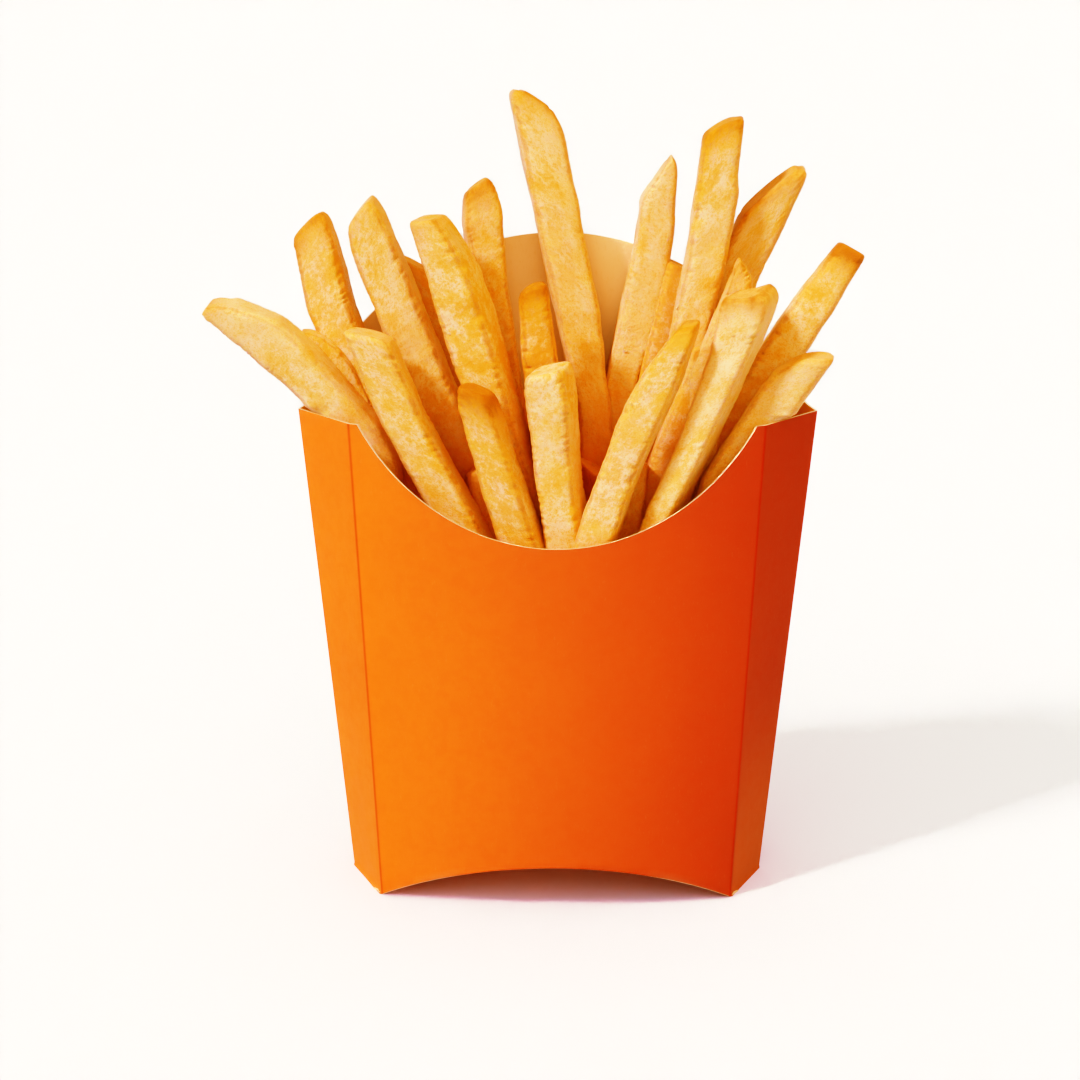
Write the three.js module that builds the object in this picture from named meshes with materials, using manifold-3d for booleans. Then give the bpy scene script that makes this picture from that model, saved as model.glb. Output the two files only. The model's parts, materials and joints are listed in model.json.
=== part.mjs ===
// French fries in a folded carton: a scoop-fronted board carton with a domed back panel,
// and the heap of fries that stands in it. Millimetres, +Z up, +X right, the front faces -Y.
// The carton is made about its own centre on the floor; the whole is then moved so that the
// origin lies under the middle of everything.
import * as THREE from 'three';
import { mergeVertices } from 'three/addons/utils/BufferGeometryUtils.js';
import Module from 'manifold-3d';

const wasm = await Module();
wasm.setup();

// ---- Carton: driving dimensions ----
const BOARD = 0.5; // thickness of the folded board
const SHOULDER_Z = 94.5; // height of the two side corners and of the facets' top edges
const SEAM_HALF_FOOT = 41; // half width over the side seams, on the floor
const SEAM_HALF_SHOULDER = 50; // the same at shoulder height
const CREASE_HALF_FOOT = 34.2; // half width of the front and back panels, on the floor
const CREASE_HALF_SHOULDER = 39.2; // the same at shoulder height
const CREASE_DEPTH_FOOT = 15.4; // from the seam plane to the panel creases, on the floor
const CREASE_DEPTH_SHOULDER = 12.5; // the same at shoulder height
const BOW_FOOT = 8.5; // how far a panel bows out between its creases, on the floor
const BOW_SHOULDER = 8.8; // the same at shoulder height
const ARCH_RISE = 9.3; // how high the vaulted bottom stands off the floor in the middle
const SCOOP_LOW_Z = 72.8; // lowest point of the front panel's scooped edge
const SCOOP_RADIUS = 43.3;
const DOME_TOP_Z = 125.6; // highest point of the back panel
const DOME_RADIUS = 52.5;
const DOME_HALF = 38.8; // half width of the dome's arc, which ends at the panel creases
const FLARE_NEAR_DOME = new THREE.Vector2(41, 104); // handles of the curve from dome to side corner
const FLARE_NEAR_CORNER = new THREE.Vector2(45, 96.2);

// ---- Fries: driving dimensions ----
const CHAMFER = 0.2; // corner cut of a fry's section, as a share of its width and depth
const FRY_STEPS = 4; // rings along a fry
const BLUNT_FOOT = 0.85; // how much narrower a fry is at its foot
const HEAP_CORE_Z = 66; // below this the fries are packed solid
const CLEARANCE = 0.3; // gap between the heap and the board
const SLIVER = 0.01; // edges shorter than this are merged away where fries cross

// ---- Mesh fineness and working room ----
const PANEL_STEPS = 14; // facets across a bowed panel
const ARC_STEPS = 20;
const LOFT_TOP_Z = 130; // above everything the board reaches
const CUT_REACH = 80; // half width and depth of the cutting shapes

// Each fry: the middle of its tip and of its foot as [x, y, z], how wide it is across and how
// deep from front to back, and where it differs from a straight, squarely cut stick: bend (how
// far its middle stands to the right of the straight line), turn (degrees about its own length),
// slant (degrees by which the cut end rises to its right side) and point (how far the end
// narrows, 0 to 1).
const FRIES = [
  // left side, from the rim inwards
  { tip: [-66, -2, 114], foot: [-34, -3, 55], wide: 9, deep: 8.5, bend: 14, slant: -36, turn: 6 },
  { tip: [-48, 2, 108], foot: [-10, 2, 50], wide: 6, deep: 5.5, slant: 10, point: 0.3 },
  { tip: [-48, 9, 127], foot: [-30, -1, 60], wide: 8.6, deep: 8.4, bend: 1, slant: 29, turn: -6, point: 0.2 },
  { tip: [-37, 4, 132], foot: [0, 4, 42], wide: 9.3, deep: 9, bend: -1, slant: 32, turn: 6, point: 0.3 },
  { tip: [-35, -8, 110], foot: [0, -10, 33], wide: 8.6, deep: 8.6, bend: -1, slant: -38, turn: -5 },
  { tip: [-28, 12, 120], foot: [-7, 11.5, 40], wide: 8, deep: 6.5, slant: -45, turn: 5, point: 0.4 },
  // middle
  { tip: [-23, -2, 131], foot: [2, -4, 45], wide: 10.3, deep: 10, bend: 1, slant: 8, turn: -8 },
  { tip: [-15, 12, 135], foot: [-5, 10, 55], wide: 8.2, deep: 8, bend: -2, slant: 33, turn: 7, point: 0.4 },
  { tip: [-5, 17.5, 151.5], foot: [9, 6.5, 50], wide: 9.5, deep: 8, bend: 3, slant: -40, turn: -5, point: 0.1 },
  { tip: [-4, -2, 116], foot: [0, -2, 48], wide: 7.8, deep: 6.5, slant: 32, turn: 4, point: 0.3 },
  { tip: [-1.5, -12, 105], foot: [3, -11.5, 25], wide: 9.7, deep: 9, bend: 1, slant: 7, turn: -7 },
  { tip: [-15, -13.5, 100], foot: [10, -13.5, 28], wide: 8.4, deep: 8.4, bend: -1.5, slant: -38, turn: 5 },
  // right side, from the middle outwards
  { tip: [21, 14, 139], foot: [2, 13, 48], wide: 7.9, deep: 7, bend: 1, slant: 52, turn: -5, point: 0.6 },
  { tip: [32, 4, 147], foot: [22, 2, 50], wide: 9, deep: 8.8, bend: -1.5, slant: 38, point: 0.2 },
  { tip: [22, 12, 109], foot: [9, 11, 40], wide: 6.5, deep: 6.5, slant: 20 },
  { tip: [45, 8, 137], foot: [32, 12, 62], wide: 8.3, deep: 7.8, bend: -7, slant: 55, turn: 0, point: 0.6 },
  { tip: [34.5, -4, 121], foot: [27, -3, 70], wide: 6.8, deep: 6, slant: 20, point: 0.7 },
  { tip: [36.5, -11, 118.5], foot: [3, -11.5, 32], wide: 10, deep: 9.8, slant: 34, turn: 12, point: 0.1 },
  { tip: [25, -15, 113], foot: [5, -16.2, 38], wide: 8.6, deep: 7.5, bend: -6, slant: 15, turn: 6, point: 0.4 },
  { tip: [24, -3, 100], foot: [9, -3, 38], wide: 7.4, deep: 6, slant: 30, point: 0.2 },
  { tip: [56, 8.5, 124], foot: [14, -4.5, 58], wide: 8.5, deep: 7.4, slant: 8, turn: 4 },
  { tip: [49, -8, 104.5], foot: [26, -6, 50], wide: 9, deep: 7.5, bend: -6, slant: 48, turn: -6, point: 0.6 },
  // shorter ones that fill the mouth behind and between the others
  { tip: [-31, 8, 97], foot: [-22, 8, 32], wide: 9, deep: 8, slant: 15, turn: 10 },
  { tip: [-29, 1.5, 93], foot: [-20, 1, 30], wide: 7, deep: 7, slant: -20, turn: -6 },
  { tip: [-15, -3, 83], foot: [-8, -4, 22], wide: 5.5, deep: 5, slant: 20, turn: 8 },
  { tip: [-6, 14, 94], foot: [-4, 12, 25], wide: 8, deep: 8, slant: 25, turn: 8 },
  { tip: [3, 14.5, 88], foot: [4, 13, 20], wide: 8, deep: 8, slant: -18, turn: -6 },
  { tip: [13, -6, 85], foot: [8, -5, 24], wide: 8.5, deep: 8.5, slant: 12, turn: 12 },
  { tip: [31, 3, 87], foot: [22, 2, 28], wide: 8.5, deep: 8, slant: 20, turn: 9 },
];

// ---- Materials ----
const cartonBoard = new THREE.MeshStandardMaterial({ color: 0xe8590f, roughness: 0.55, metalness: 0 });
const friedPotato = new THREE.MeshStandardMaterial({ color: 0xeeb852, roughness: 0.6, metalness: 0 });

// ---- Solids from meshes, and back ----
function solidOf(geometry) {
  geometry.deleteAttribute('normal');
  geometry.deleteAttribute('uv');
  const merged = mergeVertices(geometry, 1e-4);
  return new wasm.Manifold(new wasm.Mesh({
    numProp: 3,
    vertProperties: new Float32Array(merged.attributes.position.array),
    triVerts: new Uint32Array(merged.index.array),
  }));
}

function geometryOf(solid) {
  const { vertProperties, triVerts } = solid.getMesh();
  const geometry = new THREE.BufferGeometry();
  geometry.setAttribute('position', new THREE.BufferAttribute(new Float32Array(vertProperties), 3));
  geometry.setIndex(new THREE.BufferAttribute(new Uint32Array(triVerts), 1));
  geometry.computeVertexNormals();
  return geometry;
}

// The largest connected piece of a solid, without crumbs and without sealed hollows.
function largestPiece(solid) {
  return solid.decompose().reduce((a, b) => (b.volume() > a.volume() ? b : a));
}

// ---- Carton ----
// Value at height z of a size given on the floor and at shoulder height.
const atHeight = (foot, shoulder, z) => THREE.MathUtils.lerp(foot, shoulder, z / SHOULDER_Z);

// Outer outline of the carton at height z, anticlockwise from the right side seam.
function cartonOutline(z) {
  const seam = atHeight(SEAM_HALF_FOOT, SEAM_HALF_SHOULDER, z);
  const crease = atHeight(CREASE_HALF_FOOT, CREASE_HALF_SHOULDER, z);
  const depth = atHeight(CREASE_DEPTH_FOOT, CREASE_DEPTH_SHOULDER, z);
  const bow = atHeight(BOW_FOOT, BOW_SHOULDER, z);
  const back = [];
  for (let i = 0; i <= PANEL_STEPS; i++) {
    const across = 1 - (2 * i) / PANEL_STEPS; // +1 at the right crease, -1 at the left one
    back.push(new THREE.Vector2(across * crease, depth + bow * (1 - across * across)));
  }
  const half = [new THREE.Vector2(seam, 0), ...back];
  return [...half, ...half.map((p) => p.clone().negate())];
}

// The same outline moved in by a distance, or out where it is negative.
function insetOutline(outline, inset) {
  const count = outline.length;
  const sideNormal = (i) => {
    const along = outline[(i + 1) % count].clone().sub(outline[i]).normalize();
    return new THREE.Vector2(along.y, -along.x);
  };
  return outline.map((point, i) => {
    const before = sideNormal((i + count - 1) % count);
    const after = sideNormal(i);
    const mitre = before.clone().add(after).divideScalar(1 + before.dot(after));
    return point.clone().addScaledVector(mitre, -inset);
  });
}

// Closed solid that fills the carton's outline from z0 to z1, its walls moved in by inset.
function cartonLoft(inset, z0, z1) {
  const rings = [z0, z1].map((z) => insetOutline(cartonOutline(z), inset));
  const count = rings[0].length;
  const positions = rings.flatMap((ring, k) => ring.flatMap((p) => [p.x, p.y, k ? z1 : z0]));
  const index = [];
  for (let i = 0; i < count; i++) {
    const next = (i + 1) % count;
    index.push(i, next, count + next, i, count + next, count + i);
  }
  for (const [a, b, c] of THREE.ShapeUtils.triangulateShape(rings[0], [])) {
    index.push(c, b, a, count + a, count + b, count + c);
  }
  const geometry = new THREE.BufferGeometry();
  geometry.setAttribute('position', new THREE.Float32BufferAttribute(positions, 3));
  geometry.setIndex(index);
  return solidOf(geometry);
}

// Solid that a shape drawn in X and Z sweeps from y0 to y1.
function sweepAlongY(shape, y0, y1) {
  const geometry = new THREE.ExtrudeGeometry(shape, {
    depth: y1 - y0, curveSegments: ARC_STEPS, bevelEnabled: false,
  });
  geometry.rotateX(Math.PI / 2).translate(0, y1, 0);
  return solidOf(geometry);
}

// Everything above the rim of the front half: level over the facets, scooped over the panel.
function aboveFrontRim(lift) {
  const centreZ = SCOOP_LOW_Z + SCOOP_RADIUS + lift;
  const halfScoop = Math.sqrt(SCOOP_RADIUS ** 2 - (centreZ - lift - SHOULDER_Z) ** 2);
  const startAngle = Math.atan2(SHOULDER_Z + lift - centreZ, -halfScoop);
  const shape = new THREE.Shape();
  shape.moveTo(-CUT_REACH, SHOULDER_Z + lift);
  shape.lineTo(-halfScoop, SHOULDER_Z + lift);
  shape.absarc(0, centreZ, SCOOP_RADIUS, startAngle, -Math.PI - startAngle, false);
  shape.lineTo(CUT_REACH, SHOULDER_Z + lift);
  shape.lineTo(CUT_REACH, 2 * LOFT_TOP_Z);
  shape.lineTo(-CUT_REACH, 2 * LOFT_TOP_Z);
  return sweepAlongY(shape, -CUT_REACH, 0);
}

// Everything above the rim of the back half: domed over the panel, flared down to the corners.
function aboveBackRim(lift) {
  const centreZ = DOME_TOP_Z - DOME_RADIUS;
  const domeEndZ = centreZ + Math.sqrt(DOME_RADIUS ** 2 - DOME_HALF ** 2);
  const endAngle = Math.atan2(domeEndZ - centreZ, DOME_HALF);
  const [nearDome, nearCorner] = [FLARE_NEAR_DOME, FLARE_NEAR_CORNER];
  const shape = new THREE.Shape();
  shape.moveTo(-CUT_REACH, SHOULDER_Z + lift);
  shape.lineTo(-SEAM_HALF_SHOULDER, SHOULDER_Z + lift);
  shape.bezierCurveTo(
    -nearCorner.x, nearCorner.y + lift, -nearDome.x, nearDome.y + lift, -DOME_HALF, domeEndZ + lift,
  );
  shape.absarc(0, centreZ + lift, DOME_RADIUS, Math.PI - endAngle, endAngle, true);
  shape.bezierCurveTo(
    nearDome.x, nearDome.y + lift, nearCorner.x, nearCorner.y + lift,
    SEAM_HALF_SHOULDER, SHOULDER_Z + lift,
  );
  shape.lineTo(CUT_REACH, SHOULDER_Z + lift);
  shape.lineTo(CUT_REACH, 2 * LOFT_TOP_Z);
  shape.lineTo(-CUT_REACH, 2 * LOFT_TOP_Z);
  return sweepAlongY(shape, 0, CUT_REACH);
}

// Everything below the vaulted bottom, raised by lift: an arch between the panels' lower corners.
function belowVault(lift) {
  const radius = (CREASE_HALF_FOOT ** 2 + ARCH_RISE ** 2) / (2 * ARCH_RISE);
  const centreZ = ARCH_RISE - radius;
  const endAngle = Math.atan2(-centreZ, CREASE_HALF_FOOT);
  const shape = new THREE.Shape();
  shape.moveTo(CUT_REACH, -CUT_REACH);
  shape.lineTo(CUT_REACH, lift);
  shape.lineTo(CREASE_HALF_FOOT, lift);
  shape.absarc(0, centreZ + lift, radius, endAngle, Math.PI - endAngle, false);
  shape.lineTo(-CUT_REACH, lift);
  shape.lineTo(-CUT_REACH, -CUT_REACH);
  return sweepAlongY(shape, -CUT_REACH, CUT_REACH);
}

// The folded board, grown on every face by margin.
function foldedBoard(margin) {
  const outside = cartonLoft(-margin, -margin, LOFT_TOP_Z).subtract(belowVault(-margin));
  const inside = cartonLoft(BOARD + margin, -1, LOFT_TOP_Z + 1).subtract(belowVault(BOARD + margin));
  return outside.subtract(inside).subtract(aboveFrontRim(margin)).subtract(aboveBackRim(margin));
}

// ---- Fries ----
// Four-sided section with cut corners, turned about its middle.
function frySection(wide, deep, turn) {
  const corner = (x, y) => new THREE.Vector2((x * wide) / 2, (y * deep) / 2);
  const cut = 1 - 2 * CHAMFER;
  const half = [corner(1, -cut), corner(1, cut), corner(cut, 1), corner(-cut, 1)];
  const points = [...half, ...half.map((p) => p.clone().negate())];
  return new THREE.Shape(points.map((p) => p.rotateAround(new THREE.Vector2(), turn)));
}

// One fry as a closed solid: a stick along its own Z, cut at a slant, bent and stood up.
function fry({ tip, foot, wide, deep, bend = 0, turn = 0, slant = 0, point = 0 }) {
  const footAt = new THREE.Vector3(...foot);
  const along = new THREE.Vector3(...tip).sub(footAt);
  const length = along.length();
  const section = frySection(wide, deep, THREE.MathUtils.degToRad(turn));
  const geometry = new THREE.ExtrudeGeometry(section, {
    depth: length, steps: FRY_STEPS, bevelEnabled: false,
  });
  const rise = Math.tan(THREE.MathUtils.degToRad(slant));
  const pointAt = (Math.sign(slant) * wide) / 4;
  const places = geometry.attributes.position;
  for (let i = 0; i < places.count; i++) {
    const t = places.getZ(i) / length;
    const atTip = t > 0.99 ? 1 : 0;
    const thick = THREE.MathUtils.lerp(BLUNT_FOOT, 1, Math.min(1, 2 * t)) * (1 - 0.4 * point * atTip);
    const across = THREE.MathUtils.lerp(places.getX(i), pointAt, point * atTip) * thick;
    const lean = Math.atan((4 * bend * (1 - 2 * t)) / length); // of the bent line, at this ring
    const cut = rise * across * atTip; // added to the length here by the slanted end
    places.setXYZ(
      i,
      4 * bend * t * (1 - t) + across * Math.cos(lean) + cut * Math.sin(lean),
      places.getY(i) * thick,
      t * length - across * Math.sin(lean) + cut * Math.cos(lean),
    );
  }
  const up = along.clone().normalize();
  const back = new THREE.Vector3(0, 1, 0).addScaledVector(up, -up.y).normalize();
  const right = new THREE.Vector3().crossVectors(back, up);
  geometry.applyMatrix4(new THREE.Matrix4().makeBasis(right, back, up).setPosition(footAt));
  return solidOf(geometry);
}

// The heap: all fries and the packed core, kept clear of the board.
function friesHeap() {
  const core = cartonLoft(BOARD + CLEARANCE, 0, HEAP_CORE_Z).subtract(belowVault(BOARD + CLEARANCE));
  const heap = FRIES.map(fry).reduce((sum, stick) => sum.add(stick), core);
  return largestPiece(heap.subtract(foldedBoard(CLEARANCE)).simplify(SLIVER));
}

// ---- The part ----
const carton = new THREE.Mesh(geometryOf(foldedBoard(0)), cartonBoard);
carton.name = 'carton';

const fries = new THREE.Mesh(geometryOf(friesHeap()), friedPotato);
fries.name = 'fries';

const part = new THREE.Group();
part.add(carton, fries);
const middle = new THREE.Box3().setFromObject(part).getCenter(new THREE.Vector3());
part.position.set(-middle.x, -middle.y, 0);

export default part;
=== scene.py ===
"""Fries standing in a folded board carton, on a pale studio floor."""
import json
import math
import random
from dataclasses import dataclass

import bmesh
import bpy
import numpy as np
from bpy.props import FloatProperty, FloatVectorProperty, PointerProperty
from mathutils import Matrix, Vector, noise

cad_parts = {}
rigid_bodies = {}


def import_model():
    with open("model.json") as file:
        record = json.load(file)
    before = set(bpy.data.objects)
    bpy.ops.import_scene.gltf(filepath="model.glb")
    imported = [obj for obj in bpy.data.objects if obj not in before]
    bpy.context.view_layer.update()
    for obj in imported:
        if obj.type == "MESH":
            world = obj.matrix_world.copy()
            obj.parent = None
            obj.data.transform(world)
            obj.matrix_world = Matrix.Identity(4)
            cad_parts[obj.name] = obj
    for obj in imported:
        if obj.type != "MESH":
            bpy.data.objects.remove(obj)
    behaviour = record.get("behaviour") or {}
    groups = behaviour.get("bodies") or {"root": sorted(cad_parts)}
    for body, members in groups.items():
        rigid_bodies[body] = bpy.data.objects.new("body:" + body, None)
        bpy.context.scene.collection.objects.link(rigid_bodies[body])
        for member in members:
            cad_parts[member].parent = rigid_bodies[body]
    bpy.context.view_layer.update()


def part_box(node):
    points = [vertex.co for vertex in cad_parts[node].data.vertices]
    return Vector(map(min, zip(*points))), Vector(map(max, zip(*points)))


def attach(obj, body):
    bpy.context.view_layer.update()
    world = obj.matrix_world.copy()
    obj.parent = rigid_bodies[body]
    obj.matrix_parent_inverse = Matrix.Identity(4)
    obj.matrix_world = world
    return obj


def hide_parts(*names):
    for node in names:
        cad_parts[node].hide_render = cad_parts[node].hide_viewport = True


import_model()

CARTON_LOW, CARTON_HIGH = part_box("carton")

bl_info = {
    "name": "Fries in a Scoop Carton",
    "version": (1, 0, 0),
    "blender": (4, 5, 0),
    "location": "3D View > Sidebar > Fries",
    "description": "Builds a folded board carton, the fries that stand in it and the studio around them",
    "category": "Add Mesh",
}

BODY = "root"
MM = 0.001
CARTON_MIDDLE = Vector(((CARTON_LOW.x + CARTON_HIGH.x) / 2, (CARTON_LOW.y + CARTON_HIGH.y) / 2, 0))


def paint(red, green, blue):
    """Scene-linear colour of a display colour given in 0 to 255."""
    def linear(value):
        value /= 255
        return value / 12.92 if value <= 0.04045 else ((value + 0.055) / 1.055) ** 2.4
    return linear(red), linear(green), linear(blue)


# ---------------------------------------------------------------- settings

def length(name, description, millimetres):
    """A length property whose default is given in millimetres."""
    return FloatProperty(
        name=name, description=description, default=millimetres * MM, min=0, precision=5,
        subtype="DISTANCE", unit="LENGTH",
    )


def brightness(name, description, default):
    """A property for the strength of a light or of the surroundings."""
    return FloatProperty(name=name, description=description, default=default, min=0)


def direction(name, description, degrees):
    """An angle property whose default is given in degrees."""
    return FloatProperty(
        name=name, description=description, default=math.radians(degrees),
        subtype="ANGLE", unit="ROTATION",
    )


def colour(name, description, display):
    """A colour property whose default is given as a display colour in 0 to 255."""
    return FloatVectorProperty(
        name=name, description=description, default=paint(*display), min=0, max=1, subtype="COLOR",
    )


class CartonSettings(bpy.types.PropertyGroup):
    """Sizes and colours of the folded carton"""
    board: length("Board", "Thickness of the folded board", 0.5)
    shoulder: length("Shoulder", "Height of the side corners", 94.5)
    seam_foot: length("Seam at foot", "Half width over the side seams, on the floor", 41)
    seam_shoulder: length("Seam at shoulder", "Half width over the side seams, at the shoulder", 50)
    crease_foot: length("Crease at foot", "Half width of a panel, on the floor", 34.2)
    crease_shoulder: length("Crease at shoulder", "Half width of a panel, at the shoulder", 39.2)
    depth_foot: length("Facet depth at foot", "From the seams back to the creases, on the floor", 15.4)
    depth_shoulder: length("Facet depth at shoulder", "The same at the shoulder", 12.5)
    bow_foot: length("Bow at foot", "How far a panel bows out, on the floor", 8.5)
    bow_shoulder: length("Bow at shoulder", "How far a panel bows out, at the shoulder", 8.8)
    arch_rise: length("Arch rise", "Height of the vaulted bottom in the middle", 9.3)
    scoop_low: length("Scoop low point", "Lowest height of the front edge", 72.8)
    scoop_radius: length("Scoop radius", "Radius of the front edge", 43.3)
    dome_top: length("Dome top", "Height of the back panel", 125.6)
    dome_radius: length("Dome radius", "Radius of the back panel's edge", 52.5)
    dome_half: length("Dome half width", "Where the dome's arc ends, at the creases", 38.8)
    print_colour: colour("Print", "Printed outside of the board", (243, 91, 34))
    # Painted shade: the darker red laid along creases and seams where their grooves are shaded; it is also
    # the print's darker mottle.
    crease_colour: colour("Crease", "The print along a fold", (190, 40, 0))
    board_colour: colour("Board", "Unprinted inside of the board", (253, 216, 153))
    # Painted bounce light: the orange that the insides of the sides show from light thrown between board
    # and fries, not a printed flap.
    side_bounce_colour: colour("Flap", "Printed flap inside the sides", (255, 172, 62))
    edge_colour: colour("Cut edge", "Cut edge of the board", (250, 224, 176))


class FrySettings(bpy.types.PropertyGroup):
    """Colours and surface of the fries"""
    golden: colour("Golden", "The fried surface between the pale patches", (243, 190, 95))
    pale: colour("Pale", "Floury patches where the flesh shows through", (252, 219, 160))
    # Partly floury flecks of the flesh, partly painted glints of oil.
    flour_and_glint: colour("Flour", "Whitish flecks", (255, 237, 206))
    amber: colour("Amber", "Deeper fried patches and streaks", (226, 158, 44))
    # Painted shade: the deeper amber of fries low in the heap and behind the first row, where shade falls
    # between them, not oil.
    deep: colour("Deep", "Oily fries low in the heap, between the others", (226, 122, 18))
    rim: colour("Rim", "Fried edges", (200, 132, 46))
    brown: colour("Brown", "Browned tips and corners", (182, 118, 30))
    unevenness: length("Unevenness", "How far the sides swell and sink", 0.26)
    notches: length("Notches", "How far the edges wave and are nicked", 0.46)
    blister: length("Blisters", "Height of the fine blistering", 0.07)


class StudioSettings(bpy.types.PropertyGroup):
    """Light, floor and camera of the studio"""
    floor_colour: colour("Floor", "Pale studio floor", (252, 240, 236))
    floor_return: FloatProperty(
        name="Floor return", description="Share of its light that the floor throws back on the carton",
        default=0.7, min=0, max=1, subtype="FACTOR",
    )
    key_strength: brightness("Key", "Strength of the main light", 2.95)
    key_colour: colour("Key colour", "Colour of the main light and the front light", (255, 248, 242))
    key_azimuth: direction("Key azimuth", "The main light, from the left side to the front", 36)
    key_height: direction("Key height", "Angle of the main light above the floor", 45)
    fill_strength: brightness("Fill", "Strength of the broad front light on board and floor", 0.9)
    dome_strength: brightness("Dome", "Strength of the soft light on board and floor", 2.25)
    dome_colour: colour("Dome colour", "Colour of the soft light on board and floor", (190, 244, 255))
    glow_strength: brightness("Glow", "Strength of the warm light on the fries", 1.8)
    glow_colour: colour("Glow colour", "Colour of the warm light on the fries", (255, 216, 44))
    sheen_strength: brightness("Sheen", "Strength of the front light on the fries", 0.8)
    sheen_colour: colour("Sheen colour", "Colour of the front light on the fries", (255, 206, 96))
    sky_colour: colour("Surroundings", "Colour of the light from the surroundings", (255, 232, 196))
    overhead: brightness("Overhead", "Strength of the surroundings overhead", 0.7)
    horizon: brightness("Horizon", "Strength of the surroundings at eye level", 0.3)
    backdrop: brightness("Backdrop", "Brightness of the backdrop as seen", 1.5)
    camera_height: direction("Camera height", "Angle of the camera above the floor", 16)
    camera_azimuth: direction("Camera azimuth", "The camera, to the right of straight ahead", 1)
    camera_distance: length("Camera distance", "From the camera to the point it looks at", 497.4)


# ---------------------------------------------------------------- finishes

class Value:
    """A node socket in an expression: arithmetic on it adds Math nodes to its finish."""

    def __init__(self, finish, socket):
        self.finish = finish
        self.socket = socket

    def _math(self, operation, first, second):
        return self.finish.add("ShaderNodeMath", {"operation": operation}, {0: first, 1: second})

    def __add__(self, other):
        return self._math("ADD", self, other)

    def __radd__(self, other):
        return self._math("ADD", other, self)

    def __sub__(self, other):
        return self._math("SUBTRACT", self, other)

    def __rsub__(self, other):
        return self._math("SUBTRACT", other, self)

    def __mul__(self, other):
        return self._math("MULTIPLY", self, other)

    def __rmul__(self, other):
        return self._math("MULTIPLY", other, self)

    def __pow__(self, other):
        return self._math("POWER", self, other)


class Finish:
    """A material or world under construction."""

    def __init__(self, name, kind="materials"):
        self.block = getattr(bpy.data, kind).new(name)
        self.block.use_nodes = True
        self.tree = self.block.node_tree
        self.tree.nodes.clear()

    def add(self, kind, settings=None, sockets=None, output=0):
        """Adds a node, sets it up, fills or links its sockets and returns one of its outputs."""
        node = self.tree.nodes.new(kind)
        for key, setting in (settings or {}).items():
            setattr(node, key, setting)
        for key, given in (sockets or {}).items():
            if isinstance(given, Value):
                self.tree.links.new(given.socket, node.inputs[key])
            else:
                node.inputs[key].default_value = given
        return Value(self, node.outputs[output]) if node.outputs else None

    def attribute(self, name, output="Fac"):
        """A value that the mesh carries."""
        return self.add("ShaderNodeAttribute", {"attribute_name": name}, output=output)

    def stretched(self, vector, scale):
        """A vector multiplied by one scale for each axis."""
        return self.add("ShaderNodeVectorMath", {"operation": "MULTIPLY"}, {0: vector, 1: scale})

    def part(self, vector, index):
        """One of the three numbers of a vector."""
        return self.add("ShaderNodeSeparateXYZ", {}, {0: vector}, index)

    def cloud(self, vector, scale, detail, roughness=0.5):
        """Soft noise between 0 and 1."""
        return self.add(
            "ShaderNodeTexNoise", {},
            {"Vector": vector, "Scale": scale, "Detail": detail, "Roughness": roughness},
        )

    def between(self, value, low, high):
        """0 below low, 1 above high, and a smooth rise between them."""
        return self.add(
            "ShaderNodeMapRange", {"interpolation_type": "SMOOTHSTEP"},
            {"Value": value, "From Min": low, "From Max": high},
        )

    def blend(self, amount, first, second):
        """First colour where amount is 0, second where it is 1."""
        first, second = [c if isinstance(c, Value) else (*c, 1.0) for c in (first, second)]
        return self.add(
            "ShaderNodeMix", {"data_type": "RGBA"}, {0: amount, 6: first, 7: second}, output=2,
        )

    def relief(self, height, distance, strength):
        """A normal from a height between 0 and 1."""
        return self.add(
            "ShaderNodeBump", {}, {"Strength": strength, "Distance": distance, "Height": height},
        )

    def surface(self, **sockets):
        """Ends the material in a Principled BSDF. Underscores in the names stand for spaces."""
        named = {key.replace("_", " "): given for key, given in sockets.items()}
        shader = self.add("ShaderNodeBsdfPrincipled", {}, named)
        self.add("ShaderNodeOutputMaterial", {}, {"Surface": shader})
        return self.block


PAINTED_SIDE_LIGHT = (-55 * MM, 60 * MM)  # across which painted side light turns the print from lit, warmer orange on the left to shaded, redder orange on the right
FLOOR_LIGHT = 45 * MM  # height up to which painted floor bounce lightens the facets
FACET_EDGE = 0.6 * MM  # over which that starts beside a crease
SIDE_BOUNCE_EDGE = (39.9 * MM, 40.2 * MM)  # from the middle, where the painted orange bounce light inside the sides begins
SHADED_HEIGHTS = (100 * MM, 78 * MM)  # heights over which painted shade deepens the fries low in the heap
SHADED_BEHIND = (-13 * MM, 2 * MM)  # along Y, from the first row to those behind, over which that painted shade sets in


def object_place(finish):
    """Place on the object in metres, which doesn't move with the view."""
    return finish.add("ShaderNodeTexCoord", output="Object")


def aside(finish, place):
    """How far a place lies to either side of the carton's middle."""
    across = finish.part(place, 0) - CARTON_MIDDLE.x
    return (across * across) ** 0.5


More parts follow.
